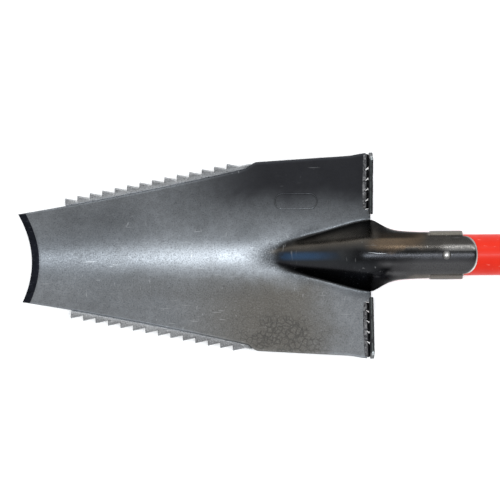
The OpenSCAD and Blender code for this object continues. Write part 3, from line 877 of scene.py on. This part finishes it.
def make_pressed_rim():
    """A plain raised rim on the left wing, a blank oval with nothing in it."""
    bm = bmesh.new()
    turns, sides, r = 96, 10, RIM_W / 2

    def surface(k):
        a = 2 * math.pi * k / turns
        straight = math.copysign(RIM_L / 2 - r, math.cos(a)) * min(1, abs(math.cos(a)) * 6)
        s = RIM_S + r * math.cos(a) + straight
        p = Vector((-s, RIM_Y + r * math.sin(a), 0))
        p.z = face_z(s, p.y)
        return p, sheet_normal("blade", s, 0, p)

    rings = []
    for k in range(turns):
        (p, n), (q, _) = surface(k), surface(k + 1)
        side = n.cross(q - p).normalized()
        centre = p + n * (sheet_wave(p) - RIM_SUNK)
        rings.append([bm.verts.new(centre + RIM_R * (math.cos(b) * side + math.sin(b) * n))
                      for b in steps(0, 2 * math.pi, sides, 1)])
    for one, two in zip(rings, rings[1:] + rings[:1]):
        for i in range(sides):
            bm.faces.new((one[i], one[i - 1], two[i - 1], two[i]))
    piece("pressed_rim", bm, [], "blade_steel", sharp=60)


TEETH, PITCH, TOOTH_H, RAKE = 14, 10.9, 4.7, 0.95
STRIP_T, STRIP_W, STRIP_GAP, ROOT_OUT = 2.5, 12.0, 0.15, 1.45
STRIP_START = {"left": 261.5, "right": 257.4}
TAIL_S = WAIST_S + 4


def edge_point(s, out=0.0):
    return Vector((-s, half_w(s) + out, dish_z(s, half_w(s)) + out * math.tan(WING_ANGLE)))


def strip_frame(side):
    """Matrix of a strip's frame, X along it and Y outwards on the back of the wing, and its length."""
    s = STRIP_START[side]
    origin, tail = edge_point(s, ROOT_OUT), edge_point(TAIL_S)
    x = (tail - origin).normalized()
    z = x.cross(Vector((0, math.cos(WING_ANGLE), math.sin(WING_ANGLE)))).normalized()
    y = z.cross(x)
    o = origin - z * (SHEET_T + STRIP_GAP)
    matrix = Matrix((x, y, z)).transposed().to_4x4()
    matrix.translation = o
    return on_side(side, matrix), (tail - origin).length


def make_strip(side):
    """The toothed bar, with each tooth ground to a narrow facet on its front."""
    matrix, length = strip_frame(side)
    outline = [(0, -STRIP_W), (0, 0)]
    for i in range(TEETH):
        outline += [(i * PITCH + RAKE, TOOTH_H), ((i + 1) * PITCH - RAKE / 4, 0)]
    outline += [(length, 0), (length, -STRIP_W)]
    bm = bmesh.new()
    top = [bm.verts.new((u, v, 0)) for u, v in outline]
    low = [bm.verts.new((u, v, -STRIP_T)) for u, v in outline]
    bm.faces.new(top)
    bm.faces.new(low[::-1])
    n = len(outline)
    for k in range(n):
        bm.faces.new((top[k], low[k], low[(k + 1) % n], top[(k + 1) % n]))
    bmesh.ops.recalc_face_normals(bm, faces=bm.faces)
    ground = [bm.edges.get((top[k], top[k + 1])) for k in range(1, 2 * TEETH + 1)]
    soften(bm, ground, 0.45)
    rest = [e for e in bm.edges if e.is_manifold and e.calc_face_angle(0) > math.radians(50)]
    soften(bm, rest, 0.12)
    piece("saw_strip_bar_" + side, bm, ["saw_strip_" + side], "strip_steel", sharp=20, matrix=matrix)


def make_strip_welds(side):
    """Six rippled stitches behind each strip."""
    matrix, length = strip_frame(side)
    count, stitch, r = 6, 12.0, 1.8
    pitch = (length - stitch) / count
    profile = [(-r, 0)] + [(-r * math.cos(t), r * math.sin(t)) for t in steps(0, math.pi / 2, 6, 1)]
    profile += [(u, r) for u in steps(0, stitch, 40, 1)[:-1]]
    profile += [(stitch + r * math.sin(t), r * math.cos(t)) for t in steps(0, math.pi / 2, 6)[:-1]]
    profile.append((stitch + r, 0))
    parts = []
    for i in range(count):
        def ripple(place, a, i=i):
            lump = noise.noise(Vector((place, a * 2, i * 5.0)))
            return 0.10 * math.cos(2 * math.pi * place / 1.3) + 0.12 * lump
        bead = lathe(profile, 20, wobble=ripple)
        bead.transform(Matrix.Translation(((i + 0.5) * pitch, -STRIP_W - 0.6, -0.8)))
        parts.append(bead)
    piece("strip_stitches_" + side, join(parts), ["strip_welds_" + side], "weld_steel", sharp=60,
          matrix=matrix)


TREAD_MID = (TREAD_Y + REAR_HALF) / 2
TREAD_TILT = math.atan2(dish_z(0, REAR_HALF) - dish_z(0, TREAD_Y), REAR_HALF - TREAD_Y)
TREAD_L = (REAR_HALF - TREAD_Y) / math.cos(TREAD_TILT)
TREAD_X, TREAD_T, TREAD_W, TREAD_BACK = -2.0, 3.6, 16.0, 3.5
BEADS, BEAD_PITCH, BEAD_FRONT, BEAD_TOP = 5, 8.8 / math.cos(TREAD_TILT), -7.6, 1.8
BEAD_GAP, BEAD_SHIFT, BEAD_END = 1.7, 3.8, TREAD_L / 2 - 0.8


def tread_frame(side):
    middle = Matrix.Translation((0, TREAD_MID, dish_z(0, TREAD_MID)))
    return on_side(side, middle @ Matrix.Rotation(TREAD_TILT, 4, "X"))


def make_tread(side):
    """The foot bar, with rounded and slightly battered edges."""
    bm = bmesh.new()
    bmesh.ops.create_cube(bm, size=1)
    bm.transform(Matrix.Translation((TREAD_X + TREAD_T / 2, 0, TREAD_W / 2 - TREAD_BACK))
                 @ Matrix.Diagonal((TREAD_T, TREAD_L, TREAD_W, 1)))
    soften(bm, list(bm.edges), 0.8, 4)
    long = [e for e in bm.edges if abs(e.verts[0].co.y - e.verts[1].co.y) > 20]
    bmesh.ops.subdivide_edges(bm, edges=long, cuts=48, use_grid_fill=True)
    for v in bm.verts:
        q = v.co / 6 + Vector((3 if side == "left" else 8, 0, 0))
        dent = min(0.0, noise.noise(q) + 0.1)
        v.co -= v.normal * 0.10 * abs(noise.noise(v.co / 9)) - v.normal * 0.35 * dent * (v.co.z > 11)
    piece("tread_bar_" + side, bm, ["tread_" + side], "tread_steel", sharp=40,
          matrix=tread_frame(side))


def make_tread_welds(side):
    """Five beads that bridge the sheet and the bar, with leaning open gaps between them."""
    rear = TREAD_X + 0.4
    lean = math.tan(math.radians(36)) * (rear - BEAD_FRONT) / 2

    def gap_side(k, off, u):
        """Side of gap k at the share u of its length; the gaps close in front of the sheet's edge."""
        opened = ease((lerp(BEAD_FRONT, rear, u) + 5.6) / 1.4)
        return (k - (BEADS - 2) / 2) * BEAD_PITCH - BEAD_SHIFT + off * opened + lean * (2 * u - 1)

    parts = []
    for i in range(BEADS):
        def sides(u, i=i):
            """The bead's two sides at the share u of its length."""
            low = gap_side(i - 1, BEAD_GAP / 2, u) if i else -BEAD_END
            return low, gap_side(i, -BEAD_GAP / 2, u) if i < BEADS - 1 else BEAD_END

        low, high = sides(0)
        size = (rear - BEAD_FRONT, high - low, SHEET_T + BEAD_TOP)
        bead = superbox(size, 5, 13, 0.28, i + (11 if side == "right" else 1))
        for v in bead.verts:
            u, w = v.co.x / size[0] + 0.5, v.co.y / size[1] + 0.5
            if v.co.z > 0:
                v.co.z *= 0.10 + 0.90 * ease(u * 1.3)
            v.co.y = lerp(*sides(u), w)
        bead.transform(Matrix.Translation(((rear + BEAD_FRONT) / 2, 0, (BEAD_TOP - SHEET_T) / 2)))
        parts.append(bead)
    piece("tread_beads_" + side, join(parts), ["tread_welds_" + side], "weld_steel", sharp=60,
          matrix=tread_frame(side))


RIVET_X, RIVET_D = 62.9, 5.0


def dome(z, head_d, head_h, rings=8):
    """Profile of a rivet's dome from its rim to its top, above height z."""
    r = ((head_d / 2) ** 2 + head_h ** 2) / (2 * head_h)
    top = math.asin(head_d / 2 / r)
    return [(z + head_h - r + r * math.cos(a), r * math.sin(a)) for a in steps(top, 0, rings)]


def rivet_mesh(d, head_d, head_h, z_head, z_tail, tail_h):
    """A rivet along Z, its tail hammered over."""
    tail = d * 0.75
    profile = [(z_tail - tail_h, 0), (z_tail - tail_h, tail - 0.5), (z_tail - tail_h + 0.25, tail - 0.12),
               (z_tail - tail_h / 2, tail), (z_tail, tail - 0.1), (z_tail, d / 2), (z_head, d / 2),
               (z_head, head_d / 2 - 0.1)]
    profile += [(p, max(0.0, q)) for p, q in dome(z_head + 0.1, head_d, head_h - 0.1)]

    def hammered(place, a):
        return 0.05 * noise.noise(Vector((place * 0.6, math.cos(a) * 1.4, math.sin(a) * 1.4)))
    return lathe(profile, 48, "Z", hammered)


def make_socket_rivet():
    lo, hi = node_box("socket_rivet")
    bm = rivet_mesh(RIVET_D, 7.4, 2.2, SOCKET_R, -SOCKET_R - 1, 1.1)
    bm.transform(Matrix.Translation(((lo.x + hi.x) / 2, 0, 0)))
    piece("socket_rivet_domed", bm, ["socket_rivet"], "rivet_steel", sharp=40)


def make_washer():
    lo, hi = node_box("socket_washer")
    outer, inner, c = (hi.x - lo.x) / 2, (RIVET_D + 0.2) / 2, 0.2
    loop = [(lo.z, inner), (lo.z, outer - c), (lo.z + c, outer)]
    loop += [(hi.z - c, outer), (hi.z, outer - c), (hi.z, inner)]
    bm = loop_lathe(loop, 64)
    bm.transform(Matrix.Translation(((lo.x + hi.x) / 2, 0, 0)) @ Matrix.Rotation(-math.pi / 2, 4, "Y"))
    piece("socket_washer_ring", bm, ["socket_washer"], "rivet_steel")


# ----------------------------------------
# Shaft and grip
def make_shaft():
    """The tube, its ends softened."""
    lo, hi = node_box("shaft_tube")
    wall, c = 3.0, 0.5
    r = (hi.y - lo.y) / 2
    bore = r - wall
    loop = [(lo.x, bore + c), (lo.x, r - c), (lo.x + c, r)]
    loop += [(x, r) for x in steps(lo.x + c, hi.x - c, 80, 1)]
    loop += [(hi.x, r - c), (hi.x, bore + c), (hi.x - c, bore)]
    loop += [(x, bore) for x in steps(hi.x - c, lo.x + c, 20, 1)]
    piece("shaft_tube_satin", loop_lathe(loop, 128), ["shaft_tube"], "shaft_red")


GRIP_X, GRIP_END, GRIP_HALF_T, GRIP_ROUND = 543.0, 718.0, 22.0, 4.0
COLLAR_R, COLLAR_L, STOP_X, BORE_R = 21.0, 66.0, 593.0, 17.6
BAR_R, BAR_MID, BAR_CORE_R, GAP_HALF = 18.0, 700.0, 14.0, 46.0
YOKE = ((GRIP_X + 59, 12.0), (GRIP_END - 20, 43.0), 20.0)
GAP = ((GRIP_X + 83, 18.0), (BAR_MID, GAP_HALF - 12), 12.0)
CROSS_X = (GRIP_X + 14, GRIP_X + 36)
ONTO_BAR = Matrix.Translation((BAR_MID, 0, 0)) @ Matrix.Rotation(math.pi / 2, 4, "Z")


def arc(centre, r, a, b, n=14):
    return [(centre[0] + r * math.cos(t), centre[1] + r * math.sin(t)) for t in steps(a, b, n)]


def tangent(near, far):
    return math.atan2(far[1] - near[1], far[0] - near[0]) + math.pi / 2


def yoke_level(o):
    """Plan of the yoke's two arms, drawn in by o all round."""
    near, far, r = YOKE
    turn = tangent(near, far)
    tip = math.asin((GAP_HALF + o - far[1]) / (r - o))
    half = arc(near, r - o, math.pi, turn) + arc(far, r - o, turn, tip)
    near, far, r = GAP
    turn = tangent(near, far)
    half += arc(far, r + o, math.pi / 2, turn) + arc(near, r + o, turn, math.pi)
    return half + [(x, -y) for x, y in reversed(half)]


def yoke_arms():
    """The forked body, its edges rounded all round."""
    quarter = [(GRIP_HALF_T - GRIP_ROUND * (1 - math.sin(a)), GRIP_ROUND * (1 - math.cos(a)))
               for a in steps(0, math.pi / 2, 7)]
    quarter.append((GRIP_HALF_T, GRIP_ROUND + 0.3))
    levels = [(-z, o) for z, o in reversed(quarter)] + quarter
    bm = bmesh.new()
    rings = [[bm.verts.new((x, y, z)) for x, y in yoke_level(o)] for z, o in levels]
    for one, two in zip(rings, rings[1:]):
        for k in range(len(one)):
            bm.faces.new((one[k - 1], one[k], two[k], two[k - 1]))
    bm.faces.new(rings[0])
    bm.faces.new(rings[-1][::-1])
    return bm


def combine(base, *others):
    """Booleans of closed meshes: each other is (bmesh, operation)."""
    def solid(bm):
        bmesh.ops.recalc_face_normals(bm, faces=bm.faces)
        return add_object("solid", mesh_from(bm, "solid"))

    body = solid(base)
    made = [body]
    for bm, operation in others:
        made.append(solid(bm))
        step = body.modifiers.new("step", "BOOLEAN")
        step.operation, step.solver, step.object = operation, "EXACT", made[-1]
    out = bmesh.new()
    out.from_object(body, bpy.context.evaluated_depsgraph_get())
    for obj in made:
        mesh = obj.data
        bpy.data.objects.remove(obj)
        bpy.data.meshes.remove(mesh)
    return out


def make_yoke():
    """The moulded D-grip: a collar with a bead and grooves, two arms, and the bar's core."""
    end, proud = GRIP_X + COLLAR_L, ((0.6, 0.3), (1.6, 0.8), (4.4, 0.8), (5.4, 0.3), (6.0, 0))
    ring = [(GRIP_X, 0), (GRIP_X, BORE_R + 1.6)] + [(GRIP_X + x, COLLAR_R + r) for x, r in proud]
    for x in (GRIP_X + 45, GRIP_X + 49, GRIP_X + 53):
        ring += [(x + u, COLLAR_R - deep) for u, deep in ((0, 0), (0.5, 0.8), (1.5, 0.8), (2.0, 0))]
    ring += [(end - 1, COLLAR_R), (end, COLLAR_R - 1), (end, 0)]
    half = GAP_HALF + 1
    bar = lathe([(-half, 0), (-half, BAR_CORE_R), (half, BAR_CORE_R), (half, 0)], 64)
    bar.transform(ONTO_BAR)
    bore = lathe([(GRIP_X - 5, 0), (GRIP_X - 5, BORE_R), (STOP_X, BORE_R), (STOP_X, 0)], 96)
    bm = combine(yoke_arms(), (lathe(ring, 96), "UNION"), (bar, "UNION"), (bore, "DIFFERENCE"))
    piece("grip_yoke_moulded", bm, ["grip_yoke"], "grip_black", sharp=32)


def make_sleeve():
    """The soft sleeve on the bar, with rings for the hand and rounded ends."""
    half, ring, deep = GAP_HALF - 0.1, 4.5, 0.9
    loop = [(-half, BAR_CORE_R + 0.1), (-half, BAR_R - 2.0), (-half + 0.6, BAR_R - 0.8), (-half + 2.0, BAR_R)]
    rings = int((2 * half - 8) / ring)
    start = -rings * ring / 2
    for i in range(rings):
        for u in steps(0, 1, 8)[:-1]:
            dip = (0.5 - 0.5 * math.cos(2 * math.pi * u)) ** 2
            loop.append((start + (i + u) * ring, BAR_R - deep * dip))
    loop += [(start + rings * ring, BAR_R), (half - 2.0, BAR_R), (half - 0.6, BAR_R - 0.8)]
    loop += [(half, BAR_R - 2.0), (half, BAR_CORE_R + 0.1)]
    bm = loop_lathe(loop, 80)
    bm.transform(ONTO_BAR)
    piece("grip_sleeve_ringed", bm, ["grip_sleeve"], "sleeve_rubber", sharp=50)


def make_grip_rivets():
    """Two rivets across the collar, domed on one side and hammered over on the other."""
    parts = []
    for x in CROSS_X:
        bm = rivet_mesh(6.0, 11.0, 2.6, COLLAR_R, -COLLAR_R, 1.6)
        bm.transform(Matrix.Translation((x, 0, 0)) @ Matrix.Rotation(math.pi / 2, 4, "X"))
        parts.append(bm)
    piece("grip_rivets_domed", join(parts), ["grip_rivets"], "rivet_steel", sharp=40)


def finish_cores():
    """The wooden cores keep their CAD shape, and get a wood finish."""
    for name in ("lower_core", "upper_core"):
        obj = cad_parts[name]
        obj.data.materials.clear()
        obj.data.materials.append(MAT["core_wood"])


# ----------------------------------------
# Floor, light and camera
def make_floor():
    bm = bmesh.new()
    bmesh.ops.create_grid(bm, x_segments=1, y_segments=1, size=9)
    mesh = mesh_from(bm, "floor")
    m = Shader("floor_pale", Metallic=0.0, Roughness=0.9, Emission_Color=(1, 1, 1, 1), Emission_Strength=0.2)
    tone = m.noise(3, 3)
    mesh.materials.append(m.finish(m.ramp(tone, (0.3, (0.90, 0.90, 0.90)), (0.7, (0.92, 0.92, 0.92)))))
    floor = add_object("floor", mesh)
    floor.location.z = CAD_BOX[0].z


def softbox(name, place, target, size, energy, colour):
    data = bpy.data.lights.new(name, "AREA")
    data.shape, data.size, data.size_y = "RECTANGLE", *size
    data.energy, data.color = energy, colour
    light = add_object(name, data)
    light.location = place
    light.rotation_mode = "QUATERNION"
    light.rotation_quaternion = (target - place).to_track_quat("-Z", "Y")
    light.visible_camera = False


def make_light(middle):
    """Two softboxes over the blade, a strip light to the left of the shaft, and a pale sky."""
    cool, warm = (0.90, 0.95, 1.0), (1.0, 0.98, 0.96)
    softbox("overhead", middle + Vector((-0.22, 0, 2.0)), middle, (0.5, 1.3), 1.2, cool)
    softbox("overhead_rear", middle + Vector((0.09, 0, 2.0)), middle, (0.24, 1.35), 29.0, cool)
    shaft = middle + Vector((0.3, 0, 0))
    softbox("strip", middle + Vector((0.72, 1.35, 1.6)), shaft, (1.0, 0.20), 5.5, warm)
    make_sky()


def make_sky():
    """A pale studio sky, darker overhead and a little brighter on the left."""
    world = bpy.data.worlds.new("studio")
    sky = Nodes(world, "Generated")
    way = sky.node("ShaderNodeSeparateXYZ", {0: sky.coords}).outputs
    greys = ((0.0, 0.95), (0.35, 0.95), (0.75, 0.66), (0.9, 0.66), (1.0, 0.45))
    colour = sky.ramp(way["Z"], *[(pos, (grey, grey, grey)) for pos, grey in greys])
    sky.join(sky.tree.nodes["Background"], Color=colour, Strength=sky.add(sky.times(way["Y"], 0.08), 1.0))
    bpy.context.scene.world = world
    bpy.context.scene.view_settings.view_transform = "Standard"


def make_camera():
    """Straight above the blade, far enough back that the sides hardly show."""
    height, seen, ahead, aside, roll = 2.4, 0.427, 0.1036, 0.0056, -0.45
    middle = Vector((REAR_X - ahead, AXIS_Y + aside, AXIS_Z))
    data = bpy.data.cameras.new("camera")
    data.sensor_width = 36.0
    data.lens = data.sensor_width * height / seen
    data.clip_start, data.clip_end = 0.05, 50.0
    camera = add_object("camera", data)
    camera.location = middle + Vector((0, 0, height))
    camera.rotation_euler = (0, 0, math.radians(roll))
    bpy.context.scene.camera = camera
    return middle


# Materials by name; a piece's slot in the record has the name of its material
MAT = {
    "blade_steel": blade_steel(), "bevel_steel": bevel_steel(), "strip_steel": strip_steel(),
    "weld_steel": weld_steel(), "tread_steel": tread_steel(), "rivet_steel": rivet_steel(),
    "shaft_red": shaft_red(), "core_wood": core_wood(), "grip_black": grip_black(),
    "sleeve_rubber": sleeve_rubber(),
}

centre = make_camera()
make_floor()
make_light(centre)
make_blade()
make_pressed_rim()
for hand in ("left", "right"):
    make_strip(hand)
    make_strip_welds(hand)
    make_tread(hand)
    make_tread_welds(hand)
make_socket_rivet()
make_washer()
make_shaft()
make_yoke()
make_sleeve()
make_grip_rivets()
finish_cores()
